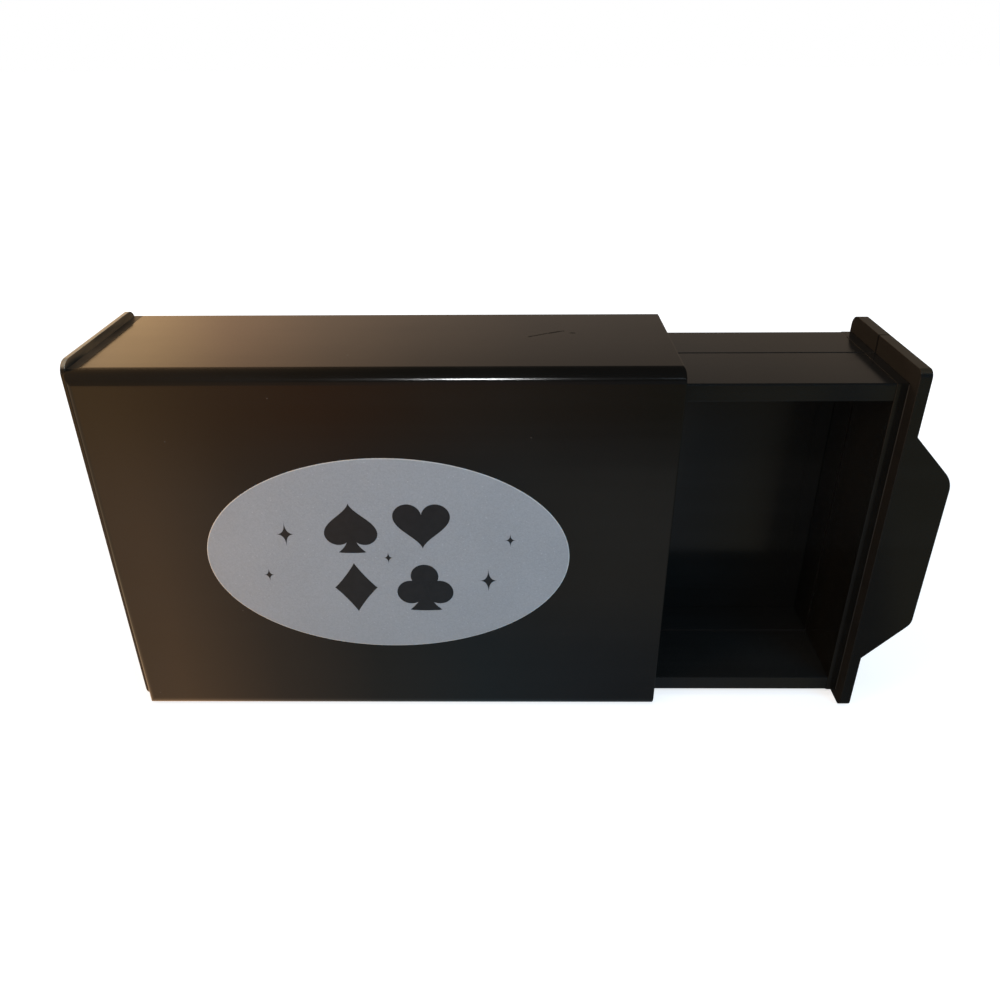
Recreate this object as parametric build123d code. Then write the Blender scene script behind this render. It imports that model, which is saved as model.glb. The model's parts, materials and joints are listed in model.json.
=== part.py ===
from build123d import *
import os

# Drawer box for conjuring: a sleeve of bent glossy sheet that stands on its long
# narrow side, a drawer that pulls out to +X, and a load tray that slides in the drawer.
# Origin: centre of the sleeve's underside. -Y is the labelled front, +Z is up.
# The drawer is drawn where it rests, pulled out by drawer_shown.
# All sizes are millimetres.

# --- Casing -------------------------------------------------------------------
casing_length = 151.4
casing_depth = 47.4
casing_height = 106.0
casing_sheet = 3.0
bend_radius = 3.5
mouth_lip_radius = 0.3
end_corner_radius = 3.0
end_edge_radius = 2.0
back_sheet = 2.0

# --- Closed end of the casing -------------------------------------------------
end_plate_sheet = 1.2
end_plate_height = 106.5
end_plate_depth = 45.0
end_plate_rise = 2.1
plate_corner_radius = 3.5
end_block_thickness = 6.0
glue_gap = 0.1

# --- Drawer -------------------------------------------------------------------
drawer_length = 143.0
drawer_shown = 55.5
largest_opening = 106.0
gap_under_drawer = 0.15
gap_over_drawer = 1.6
gap_before_drawer = 1.3
gap_behind_drawer = 0.4
rail_sheet = 4.6
floor_sheet = 5.4
end_wall_sheet = 3.0
tail_wall_sheet = 3.0
seam_from_front = 22.8
seam_chamfer = 0.35
rail_edge_radius = 0.5

# --- Drawer's end plate, in two strips, and its pull tab ----------------------
pull_plate_sheet = 3.0
pull_plate_height = 106.0
pull_plate_lift = 0.3
pull_plate_back_inset = 1.1
pull_plate_front_radius = 2.0
closing_gap = 0.2
tab_root_height = 70.1
tab_outer_height = 45.4
tab_reach = 11.6
tab_lift = 0.5
tab_thickness = 2.0
tab_upper_corner_radius = 7.5
tab_lower_corner_radius = 4.0
tab_root_fillet = 1.0

# --- Stops that keep the drawer's hidden end inside the casing ----------------
stop_thickness = 1.1
stop_width = 4.0
stop_setback = 3.0
stop_side_margin = 3.0
catch_height = 1.2
catch_width = 4.0

# --- Load tray, which slides inside the drawer --------------------------------
tray_length = 80.0
tray_wall = 1.6
tray_floor_sheet = 1.6
gap_under_tray = 0.3
gap_over_tray = 0.7
gap_behind_tray = 0.4
tray_front_inset = 0.6
tray_tail_gap = 0.4
tray_edge_radius = 0.4

# --- Magnets in the drawer's floor, which hold the load tray at the tail ------
magnet_radius = 4.0
magnet_length = 3.0
magnet_spacing = 50.0
keeper_radius = 4.0
keeper_thickness = 1.0
pocket_clearance = 0.1

# --- Oval label ---------------------------------------------------------------
label_width = 97.8
label_height = 60.0
label_thickness = 0.15
label_lift = 0.4

# --- Places worked out from the sizes above -----------------------------------
closed_end_x = -casing_length / 2
mouth_x = casing_length / 2
front_y = -casing_depth / 2
back_y = casing_depth / 2
mid_height = casing_height / 2

inner_top_z = casing_height - casing_sheet
inner_back_y = back_y - back_sheet
block_face_x = closed_end_x + end_block_thickness

drawer_bottom_z = casing_sheet + gap_under_drawer
drawer_top_z = inner_top_z - gap_over_drawer
drawer_front_y = front_y + casing_sheet + gap_before_drawer
drawer_back_y = inner_back_y - gap_behind_drawer
drawer_right_x = mouth_x + drawer_shown
drawer_left_x = drawer_right_x - drawer_length
seam_y = drawer_front_y + seam_from_front
cavity_bottom_z = drawer_bottom_z + rail_sheet
cavity_top_z = drawer_top_z - rail_sheet
cavity_right_x = drawer_right_x - end_wall_sheet
floor_face_y = drawer_back_y - floor_sheet

plate_bottom_z = pull_plate_lift
plate_top_z = pull_plate_lift + pull_plate_height
plate_back_y = back_y - pull_plate_back_inset
plate_outer_x = drawer_right_x + pull_plate_sheet

stop_right_x = mouth_x - stop_setback
stop_left_x = stop_right_x - stop_width
catch_right_x = stop_left_x - largest_opening + drawer_shown

tail_face_x = drawer_left_x + tail_wall_sheet
tray_left_x = tail_face_x + tray_tail_gap
tray_right_x = tray_left_x + tray_length
tray_bottom_z = cavity_bottom_z + gap_under_tray
tray_top_z = cavity_top_z - gap_over_tray
tray_front_y = drawer_front_y + tray_front_inset
tray_back_y = floor_face_y - gap_behind_tray
tray_floor_y = tray_back_y - tray_floor_sheet
magnet_x = (tray_left_x + tray_right_x) / 2


def slab(x_span, y_span, z_span):
    """A flat piece of sheet between three pairs of limits."""
    low = Vector(x_span[0], y_span[0], z_span[0])
    size = Vector(x_span[1], y_span[1], z_span[1]) - low
    return Pos(*low) * Box(size.X, size.Y, size.Z, align=(Align.MIN, Align.MIN, Align.MIN))


def outline_on_end(y_span, z_span):
    """A rectangle in the plane of the box's ends, in Y and Z."""
    width = y_span[1] - y_span[0]
    height = z_span[1] - z_span[0]
    return Pos((y_span[0] + y_span[1]) / 2, (z_span[0] + z_span[1]) / 2) * Rectangle(width, height)


def along_length(section, x_span):
    """A section drawn in Y and Z, pulled along X between two places."""
    return extrude(Plane.YZ.offset(x_span[0]) * section, x_span[1] - x_span[0])


def casing_wrap():
    """Front, top and underside: one sheet with two bends, open at the back."""
    outside = outline_on_end((front_y, back_y), (0, casing_height))
    outside = fillet(outside.vertices().group_by(Axis.X)[0], bend_radius)
    inside = outline_on_end((front_y + casing_sheet, back_y + casing_sheet), (casing_sheet, inner_top_z))
    inner_bend = bend_radius - casing_sheet
    if inner_bend > 0:
        inside = fillet(inside.vertices().group_by(Axis.X)[0], inner_bend)
    wrap = along_length(outside - inside, (closed_end_x, mouth_x))

    # the lower corner of the closed end is eased, as seen from the front
    corner = Pos(closed_end_x, 0) * Rectangle(end_corner_radius, end_corner_radius,
                                              align=(Align.MIN, Align.MIN))
    corner -= Pos(closed_end_x + end_corner_radius, end_corner_radius) * Circle(end_corner_radius)
    wrap -= extrude(Plane.XZ.offset(-back_y) * corner, casing_depth)

    # so is the upright edge between the front and the closed end
    edge = Pos(closed_end_x, front_y) * Rectangle(end_edge_radius, end_edge_radius,
                                                  align=(Align.MIN, Align.MIN))
    edge -= Pos(closed_end_x + end_edge_radius, front_y + end_edge_radius) * Circle(end_edge_radius)
    wrap -= extrude(edge, casing_height)

    # the mouth's outer edges are rubbed down to a small round
    mouth = wrap.faces().sort_by(Axis.X)[-1]
    top_edge = mouth.edges().filter_by(Axis.Y).sort_by(Axis.Z)[-1]
    bottom_edge = mouth.edges().filter_by(Axis.Y).sort_by(Axis.Z)[0]
    front_edge = mouth.edges().filter_by(Axis.Z).sort_by(Axis.Y)[0]
    return fillet([top_edge, front_edge, bottom_edge], mouth_lip_radius)


def back_panel():
    """Flat back, glued between the wrap's two long edges."""
    return slab((closed_end_x, mouth_x), (inner_back_y, back_y), (casing_sheet, inner_top_z))


def end_plate():
    """Plate over the closed end. It stands a little above the casing's top."""
    top_z = casing_height + end_plate_rise
    outline = outline_on_end((back_y - end_plate_depth, back_y), (top_z - end_plate_height, top_z))
    outline = fillet(outline.vertices(), plate_corner_radius)
    return along_length(outline, (closed_end_x - end_plate_sheet, closed_end_x))


def end_block():
    """Block glued inside the closed end, which carries the end plate."""
    outline = outline_on_end((front_y + casing_sheet + glue_gap, inner_back_y - glue_gap),
                             (casing_sheet + glue_gap, inner_top_z - glue_gap))
    outline = fillet(outline.vertices().group_by(Axis.X)[0], max(bend_radius - casing_sheet, glue_gap))
    return along_length(outline, (closed_end_x, block_face_x))


def oval_label():
    """Thin oval badge on the front face, a little above its middle."""
    outline = Ellipse(label_width / 2, label_height / 2)
    badge = extrude(Plane.XZ.offset(-front_y) * outline, label_thickness)
    return Pos(0, 0, mid_height + label_lift) * badge


def mouth_stop():
    """Strip under the casing's top, just inside the mouth."""
    return slab((stop_left_x, stop_right_x),
                (drawer_front_y + stop_side_margin, drawer_back_y - stop_side_margin),
                (inner_top_z - stop_thickness, inner_top_z))


def drawer_catch():
    """Strip on the drawer's upper front rail, which meets the mouth stop."""
    return slab((catch_right_x - catch_width, catch_right_x),
                (drawer_front_y + stop_side_margin, seam_y - stop_side_margin),
                (drawer_top_z, drawer_top_z + catch_height))


def rail(y_span, outer_z, inward, seam_side):
    """A long wall strip. Its outer edges are eased at the seam and rounded at the other side."""
    inner_z = outer_z + inward * rail_sheet
    section = outline_on_end(y_span, (min(outer_z, inner_z), max(outer_z, inner_z)))
    outer_corners = section.vertices().group_by(Axis.Y)[-1 if inward < 0 else 0].sort_by(Axis.X)
    at_seam = outer_corners[-1 if seam_side > 0 else 0]
    at_edge = outer_corners[0 if seam_side > 0 else -1]
    section = chamfer(at_seam, seam_chamfer)
    remaining = section.vertices().sort_by_distance((at_edge.X, at_edge.Y))[0]
    section = fillet(remaining, rail_edge_radius)
    return along_length(section, (drawer_left_x, cavity_right_x))


def front_upper_rail():
    return rail((drawer_front_y, seam_y), drawer_top_z, -1, 1)


def front_lower_rail():
    return rail((drawer_front_y, seam_y), drawer_bottom_z, 1, 1)


def rear_upper_rail():
    return rail((seam_y, drawer_back_y), drawer_top_z, -1, -1)


def rear_lower_rail():
    return rail((seam_y, drawer_back_y), drawer_bottom_z, 1, -1)


def end_wall(y_span):
    """A strip of the drawer's end wall, glued behind the end plate."""
    return slab((cavity_right_x, drawer_right_x), y_span, (drawer_bottom_z, drawer_top_z))


def front_end_wall():
    """End wall of the front half, across the ends of both front rails."""
    return end_wall((drawer_front_y, seam_y))


def rear_end_wall():
    """End wall of the rear half, across the ends of both rear rails."""
    return end_wall((seam_y, drawer_back_y))


def drawer_tail_wall():
    """Wall across the drawer's hidden end, between the rails and on the floor."""
    return slab((drawer_left_x, tail_face_x),
                (drawer_front_y, floor_face_y),
                (cavity_bottom_z, cavity_top_z))


def magnet_places(y):
    """The two places, one above the other, where a magnet faces a keeper."""
    return [Pos(magnet_x, y, mid_height + side * magnet_spacing / 2) for side in (-1, 1)]


def disc(radius, length):
    """A disc on a Y axis, from y = 0 to y = length."""
    return extrude(Plane.XZ * Circle(radius), -length)


def drawer_floor():
    """Floor between the rear rails. Its hidden back has a pocket for each magnet."""
    floor = slab((drawer_left_x, cavity_right_x),
                 (floor_face_y, drawer_back_y),
                 (cavity_bottom_z, cavity_top_z))
    pocket = disc(magnet_radius + pocket_clearance, magnet_length)
    for place in magnet_places(drawer_back_y - magnet_length):
        floor -= place * pocket
    return floor


def holding_magnets():
    """Two disc magnets, flush with the back of the drawer's floor."""
    magnet = disc(magnet_radius, magnet_length)
    return Compound([place * magnet for place in magnet_places(drawer_back_y - magnet_length)])


def pull_tab():
    """Tapered tab in the plane of the front, standing out from the plate."""
    middle_z = (plate_bottom_z + plate_top_z) / 2 + tab_lift
    half_root = tab_root_height / 2
    half_outer = tab_outer_height / 2
    tip_x = plate_outer_x + tab_reach
    outline = Polyline((drawer_right_x + pull_plate_sheet / 2, middle_z - half_root),
                       (plate_outer_x, middle_z - half_root),
                       (tip_x, middle_z - half_outer),
                       (tip_x, middle_z + half_outer),
                       (plate_outer_x, middle_z + half_root),
                       (drawer_right_x + pull_plate_sheet / 2, middle_z + half_root), close=True)
    face = make_face(outline)
    for corner_z, radius in ((middle_z + half_outer, tab_upper_corner_radius),
                             (middle_z - half_outer, tab_lower_corner_radius)):
        corner = face.vertices().sort_by_distance((tip_x, corner_z))[0]
        face = fillet(corner, radius)
    return extrude(Plane.XZ.offset(-front_y) * face, -tab_thickness)


def pull_plate():
    """Front strip of the drawer's end plate, in one piece with the pull tab."""
    outline = outline_on_end((front_y, seam_y), (plate_bottom_z, plate_top_z))
    outline = fillet(outline.vertices().group_by(Axis.X)[0], pull_plate_front_radius)
    plate = along_length(outline, (drawer_right_x, plate_outer_x))
    plate += pull_tab()
    tab_root = (plate_outer_x, front_y + tab_thickness, mid_height)
    root_edge = plate.edges().filter_by(Axis.Z).sort_by_distance(tab_root)[0]
    plate = fillet(root_edge, tab_root_fillet)
    seam_edge = plate.edges().filter_by(Axis.Z).group_by(Axis.Y)[-1].sort_by(Axis.X)[0]
    return chamfer(seam_edge, seam_chamfer)


def rear_plate():
    """Rear strip of the drawer's end plate."""
    outline = outline_on_end((seam_y, plate_back_y), (plate_bottom_z, plate_top_z))
    outline = fillet(outline.vertices().group_by(Axis.X)[-1], plate_corner_radius)
    plate = along_length(outline, (drawer_right_x, plate_outer_x))
    seam_edge = plate.edges().filter_by(Axis.Z).group_by(Axis.Y)[0].sort_by(Axis.X)[0]
    return chamfer(seam_edge, seam_chamfer)


def tray_floor():
    """Floor of the load tray, behind its four walls, with a pocket for each keeper disc."""
    floor = slab((tray_left_x, tray_right_x), (tray_floor_y, tray_back_y), (tray_bottom_z, tray_top_z))
    pocket = disc(keeper_radius + pocket_clearance, keeper_thickness)
    for place in magnet_places(tray_back_y - keeper_thickness):
        floor -= place * pocket
    return floor


def tray_side(z_span):
    """A long wall of the load tray, with its front edges rounded."""
    wall = slab((tray_left_x + tray_wall, tray_right_x - tray_wall), (tray_front_y, tray_floor_y), z_span)
    return fillet(wall.edges().filter_by(Axis.X).group_by(Axis.Y)[0], tray_edge_radius)


def tray_upper_wall():
    return tray_side((tray_top_z - tray_wall, tray_top_z))


def tray_lower_wall():
    return tray_side((tray_bottom_z, tray_bottom_z + tray_wall))


def tray_end(x_span):
    """An end wall of the load tray, with its front edges rounded."""
    wall = slab(x_span, (tray_front_y, tray_floor_y), (tray_bottom_z, tray_top_z))
    return fillet(wall.edges().filter_by(Axis.Z).group_by(Axis.Y)[0], tray_edge_radius)


def tray_tail_wall():
    """End wall beside the drawer's tail wall."""
    return tray_end((tray_left_x, tray_left_x + tray_wall))


def tray_mouth_wall():
    """End wall towards the mouth."""
    return tray_end((tray_right_x - tray_wall, tray_right_x))


def keeper_discs():
    """Two steel discs that the magnets pull on, flush with the back of the tray's floor."""
    keeper = disc(keeper_radius, keeper_thickness)
    return Compound([place * keeper for place in magnet_places(tray_back_y - keeper_thickness)])


PIECES = [
    casing_wrap, back_panel, end_plate, end_block, oval_label, mouth_stop,
    front_upper_rail, front_lower_rail, rear_upper_rail, rear_lower_rail,
    front_end_wall, rear_end_wall, drawer_tail_wall, drawer_floor, holding_magnets,
    pull_plate, rear_plate, drawer_catch,
    tray_floor, tray_upper_wall, tray_lower_wall, tray_tail_wall, tray_mouth_wall, keeper_discs,
]

os.makedirs("parts", exist_ok=True)
for piece in PIECES:
    export_step(piece(), f"parts/{piece.__name__}.step")

print("drawer travel, closed to rest:", drawer_shown - closing_gap)
print("drawer travel, rest to stop:", round(largest_opening - drawer_shown, 2))
print("load tray travel in the drawer:", round(cavity_right_x - tray_right_x, 2))
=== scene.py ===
import json
import math

import bpy
from mathutils import Matrix, Vector


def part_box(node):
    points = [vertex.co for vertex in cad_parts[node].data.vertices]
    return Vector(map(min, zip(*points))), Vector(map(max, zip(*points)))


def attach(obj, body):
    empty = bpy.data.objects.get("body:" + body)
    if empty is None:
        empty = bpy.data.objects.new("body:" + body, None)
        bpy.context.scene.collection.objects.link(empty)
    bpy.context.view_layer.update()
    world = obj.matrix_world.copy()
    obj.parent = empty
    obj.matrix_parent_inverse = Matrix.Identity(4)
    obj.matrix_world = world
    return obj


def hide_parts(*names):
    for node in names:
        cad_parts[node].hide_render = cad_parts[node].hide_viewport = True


# Looks of the conjuring drawer box: glossy black sheet, a silver oval badge with a black
# print, and the light in which the box was photographed. Sizes are metres.

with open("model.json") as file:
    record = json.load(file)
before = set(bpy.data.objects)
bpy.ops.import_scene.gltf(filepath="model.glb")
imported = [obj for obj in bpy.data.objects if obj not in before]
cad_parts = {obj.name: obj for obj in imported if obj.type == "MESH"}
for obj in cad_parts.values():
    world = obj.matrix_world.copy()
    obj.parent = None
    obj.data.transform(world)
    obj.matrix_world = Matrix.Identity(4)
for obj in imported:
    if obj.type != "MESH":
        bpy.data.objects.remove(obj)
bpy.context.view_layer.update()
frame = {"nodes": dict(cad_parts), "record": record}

MM = 0.001

# --- Camera ---------------------------------------------------------------------
CAMERA_PLACE = Vector((32.64, -216.62, 179.27)) * MM
CAMERA_TURNS = (-0.695, -29.25, -0.406)     # yaw, pitch and roll in degrees
CAMERA_LENS = 30.637
SENSOR_WIDTH = 36

# --- Badge ----------------------------------------------------------------------
FOIL_THICKNESS = 0.10 * MM
RIM_WIDTH = 0.22 * MM
FLAKE_SIZE = 0.3 * MM
# painted glints on the foil: near-white specks of base colour
GLINTS = (1.2 * MM, 0.15 * MM, 0.6)         # spacing, radius, and share of the places that have one
PRINT_THICKNESS = 0.03 * MM
FIRST_PRINT_LAYER = 0.4                     # these three are shares of the print's thickness
PRINT_LAYER_STEP = 0.3
PRINT_SUNK_IN_FOIL = 0.2
SUIT_HEIGHT = 15.5 * MM
SUIT_SPACING = Vector((19.0, 19.5)) * MM
SPARKLES = ((-27.0, 7.5, 4.2), (-33.0, -5.5, 2.4), (27.0, -7.5, 4.2), (33.0, 5.5, 2.4), (0, 0, 2.2))

# --- Glue line along the drawer's end plate -------------------------------------
GLUE_BEAD_RADIUS = 0.2 * MM

# --- Black sheet: edges, joints, dust, a painted corner reflection --------------
EDGE_SOFTNESS = 0.4 * MM
SEAM_HALF_WIDTH = 0.34 * MM
DUST_AND_REFLECTION_STRIP_WIDTH = 2.4 * MM
COARSE_DUST = (9 * MM, 0.13 * MM, 0.4)      # spacing, radius, and share of the places that have a grain
FINE_DUST = (4 * MM, 0.06 * MM, 0.3)
DUST_GREY = (0.30, 0.28, 0.26)
DUST_FILM_GREY = (0.05, 0.045, 0.04)
# partly dust, partly a painted reflection of the warm-lit closing plate
CORNER_DUST_AND_REFLECTION_BROWN = (0.075, 0.047, 0.026)
OPEN_SEAM_BLACK = (0.001, 0.001, 0.001)

# --- Places on the box, from the frame --------------------------------------------
wrap_low, wrap_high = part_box("casing_wrap")
label_low, label_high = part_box("oval_label")
BADGE_MIDDLE = Vector(((label_low.x + label_high.x) / 2, label_high.y, (label_low.z + label_high.z) / 2))
CLOSED_END = wrap_low.x
TOP = wrap_high.z
SEAM_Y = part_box("front_upper_rail")[1].y
BEND_RADIUS = 3.5 * MM
BEND_EASE = 0.16 * MM                       # drop of the top before its bend
BEND_EASE_WIDTH = 2.6 * MM

# --- Glow on the floor, where the box mirrors it ----------------------------------
MIRRORED_CAMERA_X = 0.033                   # the camera's place, mirrored in the box's front
MIRRORED_CAMERA_Y = 0.17
TAB_GLOW_SLOPE = 0.343                      # strip of the floor that the pull tab mirrors
TAB_GLOW_START = 0.119
TAB_GLOW_WIDTH = 0.022
TABLE_GREY = (0.5, 0.5, 0.5)

# Handling marks on the casing's top: start, end and width.
SCRATCHES = (
    (Vector((38.0, 3.6, 0)) * MM, Vector((43.0, 6.4, 0)) * MM, 0.3 * MM),
    (Vector((43.0, 6.4, 0)) * MM, Vector((47.4, 8.4, 0)) * MM, 0.4 * MM),
    (Vector((49.4, 6.7, 0)) * MM, Vector((50.4, 6.7, 0)) * MM, 0.3 * MM),
)


# --- Materials: how they are written --------------------------------------------
class Wire:
    """A number that changes over a surface. Arithmetic on it adds Math nodes."""

    def __init__(self, tree, socket):
        self.tree = tree
        self.socket = socket

    def maths(self, operation, *values):
        return self.tree.add("ShaderNodeMath", {"operation": operation}, dict(enumerate(values)))

    def __add__(self, other):
        return self.maths("ADD", self, other)

    def __sub__(self, other):
        return self.maths("SUBTRACT", self, other)

    def __rsub__(self, other):
        return self.maths("SUBTRACT", other, self)

    def __mul__(self, other):
        return self.maths("MULTIPLY", self, other)

    def __truediv__(self, other):
        return self.maths("DIVIDE", self, other)

    __radd__ = __add__
    __rmul__ = __mul__

    def below(self, edge, softness):
        """1 where the value is under the edge, 0 where it is over, with a soft step between."""
        return self.tree.add("ShaderNodeMapRange", {"interpolation_type": "SMOOTHSTEP"},
                             {"Value": self, "From Min": edge - softness / 2, "From Max": edge + softness / 2,
                              "To Min": 1.0, "To Max": 0.0})

    def above(self, edge, softness):
        return 1 - self.below(edge, softness)

    def near(self, middle, width):
        """1 where the value is close to the middle, 0 away from it."""
        return self.maths("ABSOLUTE", self - middle).below(width, width)

    def either(self, other):
        return self.maths("MAXIMUM", self, other)


class NodeTree:
    """The nodes of one material, or of the world."""

    def __init__(self, owner):
        owner.use_nodes = True
        self.nodes = owner.node_tree.nodes
        self.links = owner.node_tree.links

    def plug(self, socket, value):
        if isinstance(value, Wire):
            self.links.new(value.socket, socket)
        elif isinstance(value, tuple) and len(socket.default_value) == len(value) + 1:
            socket.default_value = (*value, 1.0)
        else:
            socket.default_value = value

    def add(self, kind, settings=None, inputs=None, output=0):
        """Adds a node, sets it up, fills its sockets and gives one of its outputs."""
        node = self.nodes.new(kind)
        for name, value in (settings or {}).items():
            if name == "stops":
                self.set_stops(node.color_ramp, value)
            else:
                setattr(node, name, value)
        for name, value in (inputs or {}).items():
            self.plug(node.inputs[name], value)
        return Wire(self, node.outputs[output])

    def set_stops(self, ramp, stops):
        for index, (place, colour) in enumerate(stops):
            stop = ramp.elements[index] if index < 2 else ramp.elements.new(place)
            stop.position = place
            stop.color = (*colour, 1.0)

    def split(self, vector):
        """The three numbers of a vector."""
        parts = self.add("ShaderNodeSeparateXYZ", None, {0: vector})
        node = parts.socket.node
        return [Wire(self, node.outputs[axis]) for axis in range(3)]

    def blend(self, mask, low, high):
        """A colour that goes from low to high with the mask."""
        return self.add("ShaderNodeMix", {"data_type": "RGBA"}, {"Factor": mask, 6: low, 7: high}, 2)

    def ramp(self, value, start, end, stops):
        """Colours along a value, whose stops are given in the value's own units."""
        run = self.add("ShaderNodeMapRange", None, {"Value": value, "From Min": start, "From Max": end})
        placed = tuple(((place - start) / (end - start), colour) for place, colour in stops)
        return self.add("ShaderNodeValToRGB", {"stops": placed}, {0: run})

    def ray(self, kind):
        return self.add("ShaderNodeLightPath", None, None, kind)


class Finish(NodeTree):
    """A material for one finish, worked out on Object coordinates."""

    def __init__(self, name):
        self.material = bpy.data.materials.new(name)
        super().__init__(self.material)
        self.shader = self.nodes["Principled BSDF"]
        self.place = self.add("ShaderNodeTexCoord", None, None, "Object")
        self.facing = self.add("ShaderNodeTexCoord", None, None, "Normal")

    def stretched(self, scale):
        """Object coordinates, scaled apart along the three axes."""
        return self.add("ShaderNodeMapping", None, {"Vector": self.place, "Scale": scale})

    def noise(self, scale, detail=2.0, place=None):
        return self.add("ShaderNodeTexNoise", None,
                        {"Vector": place or self.place, "Scale": scale, "Detail": detail})

    def specks(self, spacing, size, share):
        """Grains of dust: small dots at uneven places, in a share of the cells."""
        cell = {"Vector": self.place, "Scale": 1 / spacing}
        distance = self.add("ShaderNodeTexVoronoi", None, cell)
        chosen = self.split(self.add("ShaderNodeTexVoronoi", None, cell, "Color"))
        radius = size / spacing
        return distance.below(radius, radius) * chosen[0].below(share, 0.01) * chosen[1]

    def near_line(self, start, end, width):
        """1 on a straight scratch between two points, 0 away from it."""
        along = end - start
        from_start = self.add("ShaderNodeVectorMath", {"operation": "SUBTRACT"},
                              {0: self.place, 1: start})
        run = self.add("ShaderNodeVectorMath", {"operation": "DOT_PRODUCT"},
                       {0: from_start, 1: along / along.length_squared}, "Value")
        held = run.maths("MINIMUM", run.maths("MAXIMUM", run, 0.0), 1.0)
        nearest = self.add("ShaderNodeVectorMath", {"operation": "SCALE"}, {0: along, "Scale": held})
        distance = self.add("ShaderNodeVectorMath", {"operation": "DISTANCE"},
                            {0: from_start, 1: nearest}, "Value")
        return distance.below(width, width)

    def bump(self, height, distance, strength=1.0, rounded=0.0, gradual=None):
        """Sets the normal from a height, on edges that look rounded off.

        Gradual is a height of its own: it eases a flat face into its bend.
        """
        inputs = {"Height": height, "Distance": distance, "Strength": strength}
        if rounded:
            inputs["Normal"] = self.add("ShaderNodeBevel", {"samples": 8}, {"Radius": rounded})
        if gradual:
            inputs["Normal"] = self.add("ShaderNodeBump", None, {
                "Height": gradual, "Distance": BEND_EASE, "Normal": inputs["Normal"]})
        self.plug(self.shader.inputs["Normal"], self.add("ShaderNodeBump", None, inputs))

    def set(self, **values):
        for name, value in values.items():
            self.plug(self.shader.inputs[name.replace("_", " ")], value)


# --- Materials of this box --------------------------------------------------------
def polished_sheet(name, colour, worn_colour, roughness, scratches=(), dust_and_reflection_line=None, bend_line=None,
                   seam=None, sawn_and_painted_light=None):
    """Polished black sheet with handling marks, a film of dust and a few grains of it.

    Scratches lie on the casing's top. A dusty line is the place along X of a corner that gathers
    dust and takes a brown painted reflection of the warm-lit closing plate, a bend line the place
    along Y where the top begins to bend down, and a seam the place along Y of a joint between two
    strips. Sawn and painted light holds a painted warm glow for faces across X, and, for the narrow
    edges on top, a pale raw-edge colour with a painted highlight.
    """
    finish = Finish(name)
    x, y, _ = finish.split(finish.place)
    normal_x, _, normal_z = finish.split(finish.facing)
    facing_up = normal_z.above(0.6, 0.3)
    cloudy = finish.noise(28.0, 4.0)
    drawn = finish.noise(60.0, 3.0, finish.stretched((0.08, 4.0, 4.0)))
    peel = finish.noise(420.0, 2.0)
    dust = finish.specks(*COARSE_DUST).either(finish.specks(*FINE_DUST))
    wear = cloudy.above(0.52, 0.3) * 0.6 + drawn.above(0.55, 0.3) * 0.4
    film = facing_up * cloudy * 0.35
    marks = dust
    lifted = Vector((0, 0, TOP))
    for start, end, width in scratches:
        scratch = finish.near_line(start + lifted, end + lifted, width)
        marks = marks.either(scratch * finish.noise(900.0).above(0.4, 0.2))
    base = finish.blend(wear, colour, worn_colour)
    base = finish.blend(film * 0.1, base, DUST_FILM_GREY)
    rough = roughness + wear * 0.05 + film * 0.06 + marks * 0.5
    if dust_and_reflection_line is not None:
        haze = finish.noise(240.0, 3.0, finish.stretched((1.0, 0.35, 1.0)))
        strip = x.below(dust_and_reflection_line + DUST_AND_REFLECTION_STRIP_WIDTH, 0.4 * MM)
        corner = strip * y.above(bend_line + 0.3 * MM, 0.8 * MM) * facing_up
        # corner brown by the closed end: dust, and a painted reflection of the warm-lit closing plate
        base = finish.blend(corner * haze.above(0.4, 0.5), base, CORNER_DUST_AND_REFLECTION_BROWN)
        rough = rough + corner * 0.3
    if seam is not None:
        gap = y.near(seam, SEAM_HALF_WIDTH) * (cloudy * 0.8 + 0.4)
        base = finish.blend(gap, base, OPEN_SEAM_BLACK)
        rough = rough + gap * 0.88
    if sawn_and_painted_light is not None:
        painted_glow, raw_edge_and_highlight = sawn_and_painted_light
        across = normal_x.maths("ABSOLUTE", normal_x).above(0.7, 0.3)
        grain = finish.noise(200.0, 4.0, finish.stretched((1.0, 0.2, 1.0)))
        # painted warm glow: faces across X turn brown in patches, standing for warm light falling on them
        base = finish.blend(across * grain.above(0.42, 0.24), base, painted_glow)
        # top edges: a pale raw-edge colour with a painted highlight
        base = finish.blend(facing_up * (grain * 0.6 + 0.5), base, raw_edge_and_highlight)
        rough = rough + across * (grain * 0.5 + 0.45) + facing_up * 0.12
    base = finish.blend(dust * 0.8, base, DUST_GREY)
    finish.set(Base_Color=base, Roughness=rough, IOR=1.5)
    gradual = None if bend_line is None else y.above(bend_line + 0.4 * MM, BEND_EASE_WIDTH)
    finish.bump(drawn * 0.5 + peel * 0.3 - marks, 0.02 * MM, 0.25, rounded=EDGE_SOFTNESS, gradual=gradual)
    return finish.material


def sawn_black_sheet():
    """Matt black of pieces that are out of sight, with saw marks."""
    finish = Finish("sawn_black")
    marks = finish.noise(90.0, 3.0, finish.stretched((1.0, 1.0, 12.0)))
    finish.set(Base_Color=finish.blend(marks, (0.008, 0.008, 0.008), (0.03, 0.029, 0.028)),
               Roughness=0.55 + marks * 0.2)
    finish.bump(marks, 0.05 * MM, 0.6)
    return finish.material


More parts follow.
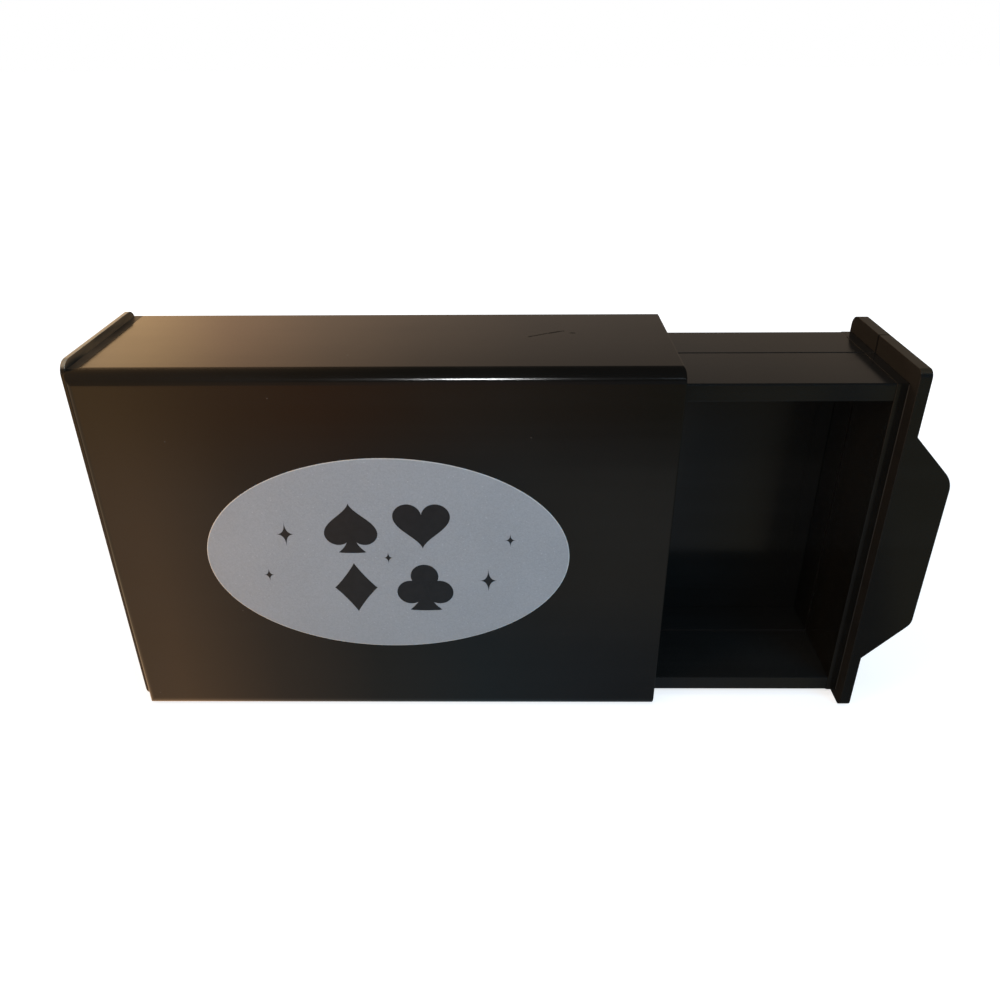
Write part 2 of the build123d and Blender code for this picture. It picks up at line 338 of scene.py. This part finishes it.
def silver_foil():
    """Satin silver foil, with fine flakes that each lie at their own angle, and a few painted glints: specks
    of near-white base colour.
    """
    finish = Finish("silver_foil")
    flake = {"Vector": finish.place, "Scale": 1 / FLAKE_SIZE}
    tone = finish.split(finish.add("ShaderNodeTexVoronoi", None, flake, "Color"))
    cloudy = finish.noise(45.0, 5.0)
    bright = tone[0] * 0.45 + cloudy * 0.55
    glint = finish.specks(*GLINTS)
    base = finish.blend(bright, (0.326, 0.332, 0.346), (0.43, 0.437, 0.454))
    # painted glints: a few specks of near-white base colour
    base = finish.blend(glint, base, (0.95, 0.95, 0.96))
    finish.set(Base_Color=base, Metallic=0.15 + tone[1] * 0.15, Roughness=0.46 + tone[2] * 0.14)
    finish.bump(tone[1], 0.02 * MM, 0.3)
    return finish.material


def foil_rim():
    """Cut edge of the foil, which is brighter than its face."""
    finish = Finish("foil_rim")
    uneven = finish.noise(500.0, 3.0)
    finish.set(Base_Color=finish.blend(uneven, (0.55, 0.53, 0.50), (0.75, 0.73, 0.70)),
               Metallic=0.3, Roughness=0.35 + uneven * 0.15)
    finish.bump(uneven, 0.01 * MM, 0.3)
    return finish.material


def black_print():
    """Printed ink: nearly black, a little uneven."""
    finish = Finish("black_print")
    uneven = finish.noise(600.0, 4.0)
    finish.set(Base_Color=finish.blend(uneven, (0.006, 0.006, 0.007), (0.016, 0.016, 0.018)),
               Roughness=0.3 + uneven * 0.15)
    finish.bump(uneven, 0.01 * MM, 0.3)
    return finish.material


def plated_metal(name, colour, bright_colour, roughness):
    """Disc of plated or punched metal, with turning marks and small stains."""
    finish = Finish(name)
    stains = finish.noise(700.0, 4.0)
    finish.set(Base_Color=finish.blend(stains, colour, bright_colour), Metallic=1.0,
               Roughness=roughness + stains * 0.15)
    finish.bump(stains, 0.01 * MM, 0.4)
    return finish.material


def glue():
    """Clear glue that was squeezed out of a joint and set."""
    finish = Finish("set_glue")
    lumps = finish.noise(300.0, 3.0)
    finish.set(Base_Color=finish.blend(lumps, (0.008, 0.0078, 0.0075), (0.022, 0.021, 0.02)),
               Roughness=0.3 + lumps * 0.2)
    finish.bump(lumps, 0.1 * MM, 0.5)
    return finish.material


# --- Pieces modelled here ---------------------------------------------------------
def shape_rim(count, outline, place, thickness, name):
    """A flat piece that faces the front. Its rim is a circle of points moved to an outline.

    place is the middle of its back, outline gives x and z for each step of a turn.
    """
    bpy.ops.object.select_all(action="DESELECT")
    bpy.ops.mesh.primitive_circle_add(vertices=count, radius=1.0, fill_type="NGON")
    piece = bpy.context.object
    piece.name = name
    for step, vertex in enumerate(piece.data.vertices):
        x, z = outline(2 * math.pi * step / count)
        vertex.co = place + Vector((x, 0, z))
    bpy.ops.object.mode_set(mode="EDIT")
    bpy.ops.mesh.select_all(action="SELECT")
    bpy.ops.mesh.extrude_region_move(TRANSFORM_OT_translate={"value": (0, -thickness, 0)})
    bpy.ops.mesh.select_all(action="SELECT")
    bpy.ops.mesh.normals_make_consistent(inside=False)
    bpy.ops.object.mode_set(mode="OBJECT")
    return piece


def oval(half_width, half_height):
    return lambda turn: (half_width * math.cos(turn), half_height * math.sin(turn))


def heart(height, way_up=1):
    """Outline of a heart, or of a spade's leaf when it is upside down."""
    unit = height / 30

    def outline(turn):
        x = 16 * math.sin(turn) ** 3
        z = 13 * math.cos(turn) - 5 * math.cos(2 * turn) - 2 * math.cos(3 * turn) - math.cos(4 * turn)
        return x * unit, way_up * (z + 2.5) * unit
    return outline


def pointed(half_width, half_height, hollow):
    """Outline with four points. The more hollow, the more its sides curve in."""
    def outline(turn):
        across, up = math.cos(turn), math.sin(turn)
        return (half_width * math.copysign(abs(across) ** hollow, across),
                half_height * math.copysign(abs(up) ** hollow, up))
    return outline


def stem(height):
    """Outline of the flared foot of a spade or a club."""
    def outline(turn):
        up = math.sin(turn)
        flare = 0.12 + 0.5 * max(0.0, (1 - up) / 2) ** 2.5
        side = math.copysign(min(1.0, abs(math.cos(turn)) * 3), math.cos(turn))
        return height * flare * side, height * up / 2
    return outline


def print_layer(layer):
    """How far a layer of print stands out from the foil: each covers the one under it."""
    return FOIL_THICKNESS + PRINT_THICKNESS * (FIRST_PRINT_LAYER + layer * PRINT_LAYER_STEP)


def print_piece(name, count, outline, x, z, layer=0):
    sunk = PRINT_THICKNESS * PRINT_SUNK_IN_FOIL
    place = BADGE_MIDDLE + Vector((x, -FOIL_THICKNESS + sunk, z))
    return shape_rim(count, outline, place, print_layer(layer) - FOIL_THICKNESS + sunk, name)


def join_as(name, pieces):
    """Joins meshes into one named piece."""
    bpy.ops.object.select_all(action="DESELECT")
    for piece in pieces:
        piece.select_set(True)
    bpy.context.view_layer.objects.active = pieces[0]
    if len(pieces) > 1:
        bpy.ops.object.join()
    pieces[0].name = name
    return pieces[0]


def badge_print():
    """Four card suits, two above two, with sparkles beside them."""
    half_x, half_z = SUIT_SPACING / 2
    tall = SUIT_HEIGHT
    spade = [print_piece("leaf", 96, heart(tall * 0.86, -1), -half_x, half_z + tall * 0.05, 1),
             print_piece("foot", 48, stem(tall * 0.42), -half_x, half_z - tall * 0.32)]
    hearts = [print_piece("heart", 96, heart(tall * 0.92), half_x, half_z)]
    diamond = [print_piece("diamond", 96, pointed(tall * 0.38, tall * 0.52, 2.2), -half_x, -half_z)]
    lobe = tall * 0.245
    club = [print_piece("lobe", 64, oval(lobe, lobe), half_x + across * tall, -half_z + up * tall, layer)
            for layer, (across, up) in enumerate(((0, 0.24), (-0.255, -0.1), (0.255, -0.1)))]
    club.append(print_piece("middle", 32, oval(lobe * 0.5, lobe * 0.5), half_x, -half_z, 3))
    club.append(print_piece("foot", 48, stem(tall * 0.5), half_x, -half_z - tall * 0.25, 4))
    sparkles = [print_piece("sparkle", 96, pointed(size * 0.62 * MM, size * MM, 4.2), x * MM, z * MM)
                for x, z, size in SPARKLES]
    return [join_as("print_spade", spade), join_as("print_heart", hearts),
            join_as("print_diamond", diamond), join_as("print_club", club),
            join_as("print_sparkles", sparkles)]


def badge_foil():
    """The oval foil under the print, with a narrow sloping rim as a second material."""
    low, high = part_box("oval_label")
    half_width, half_height = (high.x - low.x) / 2, (high.z - low.z) / 2
    foil = shape_rim(160, oval(half_width, half_height), BADGE_MIDDLE, FOIL_THICKNESS * 0.5, "badge_foil")
    bpy.ops.object.mode_set(mode="EDIT")
    bpy.ops.mesh.select_all(action="DESELECT")
    bpy.ops.mesh.select_mode(type="FACE")
    bpy.ops.object.mode_set(mode="OBJECT")
    for face in foil.data.polygons:
        face.select = face.normal.y < -0.9
    bpy.ops.object.mode_set(mode="EDIT")
    bpy.ops.mesh.inset(thickness=RIM_WIDTH)
    bpy.ops.transform.translate(value=(0, -FOIL_THICKNESS * 0.5, 0))
    bpy.ops.object.mode_set(mode="OBJECT")
    for face in foil.data.polygons:
        face.material_index = 0 if face.select else 1
    return foil


def glue_bead():
    """Bead of glue in the corner between the drawer's front edge and its end plate."""
    wall_low, wall_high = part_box("front_end_wall")
    length = wall_high.z - wall_low.z - 2 * GLUE_BEAD_RADIUS
    middle = Vector((wall_high.x, wall_low.y, (wall_low.z + wall_high.z) / 2))
    bpy.ops.object.select_all(action="DESELECT")
    bpy.ops.mesh.primitive_cylinder_add(vertices=12, radius=GLUE_BEAD_RADIUS, depth=length, location=middle)
    bead = bpy.context.object
    bead.name = "glue_bead"
    bpy.ops.object.mode_set(mode="EDIT")
    bpy.ops.mesh.select_all(action="SELECT")
    bpy.ops.mesh.subdivide(number_cuts=3)
    bpy.ops.mesh.select_all(action="SELECT")
    bpy.ops.mesh.normals_make_consistent(inside=False)
    bpy.ops.object.mode_set(mode="OBJECT")
    bpy.ops.object.transform_apply(location=True, rotation=True, scale=True)
    bpy.ops.object.shade_smooth_by_angle(angle=math.radians(40))
    return bead


# --- Camera, light and floor --------------------------------------------------------
def photographer_camera():
    """Camera above and in front of the box, turned as the photographer held it."""
    yaw, pitch, roll = (math.radians(angle) for angle in CAMERA_TURNS)
    forward = Vector((math.sin(yaw) * math.cos(pitch), math.cos(yaw) * math.cos(pitch), math.sin(pitch)))
    level = Vector((math.cos(yaw), -math.sin(yaw), 0))
    upright = level.cross(forward)
    right = level * math.cos(roll) + upright * math.sin(roll)
    up = upright * math.cos(roll) - level * math.sin(roll)
    camera = bpy.data.objects.new("photographer", bpy.data.cameras.new("photographer"))
    camera.data.sensor_width = SENSOR_WIDTH
    camera.data.lens = CAMERA_LENS
    camera.data.clip_start = 0.01
    turned = Matrix((right, up, -forward)).transposed().to_4x4()
    camera.matrix_world = Matrix.Translation(CAMERA_PLACE) @ turned
    bpy.context.scene.collection.objects.link(camera)
    bpy.context.scene.camera = camera


def room():
    """White for the camera. Gloss mirrors a dim room, which is warmly lit on the left and low behind."""
    world = bpy.data.worlds.new("room")
    bpy.context.scene.world = world
    tree = NodeTree(world)
    direction = tree.add("ShaderNodeTexCoord", None, None, "Generated")
    x, y, z = tree.split(direction)
    behind = tree.ramp(x, -0.6, 0.45, (
        (-0.6, (0.24, 0.16, 0.09)),
        (-0.5, (0.56, 0.37, 0.2)),
        (-0.39, (0.49, 0.31, 0.157)),
        (-0.31, (0.31, 0.19, 0.112)),
        (-0.21, (0.2, 0.134, 0.088)),
        (-0.10, (0.138, 0.1, 0.072)),
        (0.02, (0.098, 0.076, 0.059)),
        (0.13, (0.08, 0.064, 0.051)),
        (0.3, (0.069, 0.054, 0.041)),
    ))
    in_front = tree.ramp(x, -0.6, 0.45, (
        (-0.42, (0.09, 0.055, 0.026)),
        (-0.1, (0.085, 0.048, 0.034)),
        (0.15, (0.022, 0.023, 0.026)),
    ))
    overhead = tree.ramp(x, -0.6, 0.45, (
        (-0.45, (0.08, 0.047, 0.02)),
        (-0.3, (0.045, 0.027, 0.013)),
        (-0.1, (0.007, 0.006, 0.004)),
        (0.1, (0.003, 0.0025, 0.002)),
    ))
    low = tree.blend(y.above(0.0, 0.3), in_front, behind)
    seen = tree.blend(z.below(0.38, 0.16), overhead, low)
    soft = tree.add("ShaderNodeBackground", None, {"Color": (0.93, 0.96, 1.0), "Strength": 0.4})
    glow = tree.add("ShaderNodeBackground", None, {"Color": seen, "Strength": 3.4})
    white = tree.add("ShaderNodeBackground", None, {"Color": (1.0, 1.0, 1.0), "Strength": 1.0})
    lit = tree.add("ShaderNodeMixShader", None, {0: tree.ray("Is Glossy Ray"), 1: soft, 2: glow})
    shown = tree.add("ShaderNodeMixShader", None, {0: tree.ray("Is Camera Ray"), 1: lit, 2: white})
    tree.plug(tree.nodes["World Output"].inputs["Surface"], shown)


def table_top():
    """Pale floor, which the camera sees white with a soft shadow.

    In the box's gloss it glows, warm on the left and dim on the right. The glow fans out from the
    place where the box mirrors the camera.
    """
    bpy.ops.object.select_all(action="DESELECT")
    bpy.ops.mesh.primitive_plane_add(size=8.0)
    floor = bpy.context.object
    floor.name = "table_top"
    finish = Finish("pale_table")
    finish.nodes.remove(finish.shader)
    x, y, _ = finish.split(finish.place)
    fan = (x - MIRRORED_CAMERA_X) / (MIRRORED_CAMERA_Y - y.maths("MINIMUM", y, 0.1))
    far = finish.ramp(fan, -0.8, 0.5, (
        (-0.8, (0.42, 0.28, 0.14)),
        (-0.52, (0.70, 0.40, 0.165)),
        (-0.37, (0.42, 0.21, 0.09)),
        (-0.24, (0.33, 0.15, 0.068)),
        (-0.11, (0.22, 0.128, 0.074)),
        (0.015, (0.15, 0.108, 0.074)),
        (0.14, (0.10, 0.07, 0.044)),
        (0.2, (0.07, 0.055, 0.03)),
        (0.48, (0.1, 0.088, 0.05)),
    ))
    near = finish.ramp(fan, -0.8, 0.5, (
        (-0.8, (0.5, 0.34, 0.2)),
        (-0.5, (0.84, 0.51, 0.29)),
        (-0.35, (0.4, 0.295, 0.218)),
        (-0.2, (0.19, 0.19, 0.18)),
        (-0.04, (0.12, 0.163, 0.19)),
        (0.11, (0.098, 0.12, 0.145)),
        (0.19, (0.088, 0.103, 0.12)),
        (0.33, (0.1, 0.1, 0.1)),
        (0.48, (0.11, 0.1, 0.07)),
    ))
    front = finish.blend(y.above(-0.19, 0.16), far, near)
    pool = y.near(-0.125, 0.06) * fan.above(0.0, 0.15) * fan.below(0.27, 0.1)
    front = finish.blend(pool * 0.8, front, (0.195, 0.185, 0.165))
    with_back = finish.blend(y.above(0.02, 0.04), front, (0.055, 0.042, 0.03))
    past_tab = x + y * TAB_GLOW_SLOPE - TAB_GLOW_START
    strip = past_tab.above(0.0, 0.014) * past_tab.below(TAB_GLOW_WIDTH, 0.014)
    mirrored = finish.blend(strip, with_back, (0.05, 0.048, 0.045))
    glow = finish.add("ShaderNodeEmission", None, {"Color": mirrored, "Strength": 1.5})
    plain = finish.add("ShaderNodeBsdfDiffuse", None, {"Color": TABLE_GREY})
    unseen = finish.add("ShaderNodeMixShader", None, {0: finish.ray("Is Glossy Ray"), 1: plain, 2: glow})
    distance = finish.add("ShaderNodeVectorMath", {"operation": "LENGTH"}, {0: finish.place}, "Value")
    bright = finish.blend(distance.above(0.33, 0.3), (0.72, 0.72, 0.72), (1.0, 1.0, 1.0))
    white = finish.add("ShaderNodeEmission", None, {"Color": bright, "Strength": 1.0})
    shaded = finish.add("ShaderNodeBsdfDiffuse", None, {"Color": TABLE_GREY})
    pale = finish.add("ShaderNodeAddShader", None, {0: white, 1: shaded})
    shown = finish.add("ShaderNodeMixShader", None, {0: finish.ray("Is Camera Ray"), 1: unseen, 2: pale})
    finish.plug(finish.nodes["Material Output"].inputs["Surface"], shown)
    floor.data.materials.append(finish.material)


def lamp(name, place, target, width, depth, power, colour, mirrored=False):
    """A flat soft lamp that faces a point. Gloss shows it only where it is mirrored."""
    data = bpy.data.lights.new(name, "AREA")
    data.shape = "RECTANGLE"
    data.size = width
    data.size_y = depth
    data.energy = power
    data.color = colour
    light = bpy.data.objects.new(name, data)
    aimed = (target - place).to_track_quat("-Z", "Y").to_matrix().to_4x4()
    light.matrix_world = Matrix.Translation(place) @ aimed
    light.visible_glossy = mirrored
    bpy.context.scene.collection.objects.link(light)


# --- The box --------------------------------------------------------------------------
# The casing's strip by the closed end takes a brown that is partly dust, partly a painted reflection.
CASING = polished_sheet("casing_sheet", (0.0044, 0.0038, 0.0031), (0.0064, 0.0056, 0.0047), 0.12,
                        scratches=SCRATCHES, dust_and_reflection_line=CLOSED_END, bend_line=wrap_low.y + BEND_RADIUS)
# Closing plate: its side faces carry a painted warm glow, and its top edges a raw-edge colour with a painted
# highlight.
CLOSING_PLATE = polished_sheet("closing_plate_sheet", (0.006, 0.005, 0.004), (0.01, 0.008, 0.006), 0.16,
                               sawn_and_painted_light=((0.22, 0.094, 0.036), (0.34, 0.27, 0.185)))
DRAWER = polished_sheet("drawer_sheet", (0.0055, 0.0054, 0.0049), (0.0078, 0.0076, 0.007), 0.12, seam=SEAM_Y)
# Drawer's end plates: a slight painted warm glow on faces across X, and a tan raw-edge colour with a painted
# highlight on their top edges.
DRAWER_PLATE = polished_sheet("drawer_plate_sheet", (0.0046, 0.0042, 0.0036), (0.0068, 0.0063, 0.0054), 0.14,
                              seam=SEAM_Y, sawn_and_painted_light=((0.008, 0.0062, 0.0042), (0.03, 0.021, 0.012)))
TRAY = polished_sheet("tray_sheet", (0.005, 0.005, 0.0048), (0.008, 0.0078, 0.0075), 0.16)
HIDDEN = sawn_black_sheet()

FINISHES = {
    "casing_black": CASING,
    "drawer_black": DRAWER,
    "tray_black": TRAY,
    "inner_black": HIDDEN,
    "magnet_nickel": plated_metal("nickel_plate", (0.55, 0.53, 0.49), (0.72, 0.70, 0.66), 0.2),
    "keeper_steel": plated_metal("punched_steel", (0.38, 0.38, 0.39), (0.56, 0.56, 0.56), 0.35),
}
PLATES_WITH_PAINTED_LIGHT = {"end_plate": CLOSING_PLATE, "pull_plate": DRAWER_PLATE, "rear_plate": DRAWER_PLATE}


def dress_cad_nodes():
    """Gives each piece from the frame the finish of its slot in the record, or gives the end plates one of
    their own, whose side faces carry a painted warm glow and whose raw top edges carry a painted highlight.
    """
    for part in frame["record"]["subparts"]:
        finish = PLATES_WITH_PAINTED_LIGHT.get(part["node"]) or FINISHES.get(part["material_slot"])
        if finish:
            materials = frame["nodes"][part["node"]].data.materials
            materials.clear()
            materials.append(finish)


def dress(piece, body, slot, *materials):
    for material in materials:
        piece.data.materials.append(material)
    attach(piece, body)


dress_cad_nodes()

foil = badge_foil()
dress(foil, "casing", "label_silver", silver_foil(), foil_rim())
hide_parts("oval_label")
ink = black_print()
for suit in badge_print():
    dress(suit, "casing", "label_silver", ink)
dress(glue_bead(), "drawer", "drawer_black", glue())

BOX_MIDDLE = Vector((0.0, 0.0, 0.05))
BADGE_SIDE = Vector((0.0, -0.023, 0.05))
BADGE_LEFT = Vector((-0.03, -0.023, 0.05))
BEND_MIDDLE = Vector((0.023, -0.022, 0.104))
BEND_RIGHT_END = Vector((0.072, -0.022, 0.104))
photographer_camera()
room()
table_top()
lamp("key_lamp", Vector((-0.012, -0.715, 0.765)), BEND_MIDDLE, 0.09, 0.07, 2.4, (0.96, 0.98, 1.0),
     mirrored=True)
lamp("right_glint", Vector((0.262, -0.69, 0.74)), BEND_RIGHT_END, 0.03, 0.05, 0.016, (0.7, 0.86, 1.0),
     mirrored=True)
lamp("ceiling_softbox", Vector((-0.02, -0.3, 0.95)), BOX_MIDDLE, 0.4, 0.3, 1.4, (0.92, 0.96, 1.0))
lamp("warm_fill", Vector((-0.45, -0.3, 0.26)), BADGE_LEFT, 0.2, 0.2, 1.12, (1.0, 0.5, 0.06))
lamp("cool_fill", Vector((0.42, -0.4, 0.34)), BADGE_SIDE, 0.25, 0.25, 1.6, (0.0, 0.5, 1.0))

bpy.context.scene.view_settings.view_transform = "Standard"
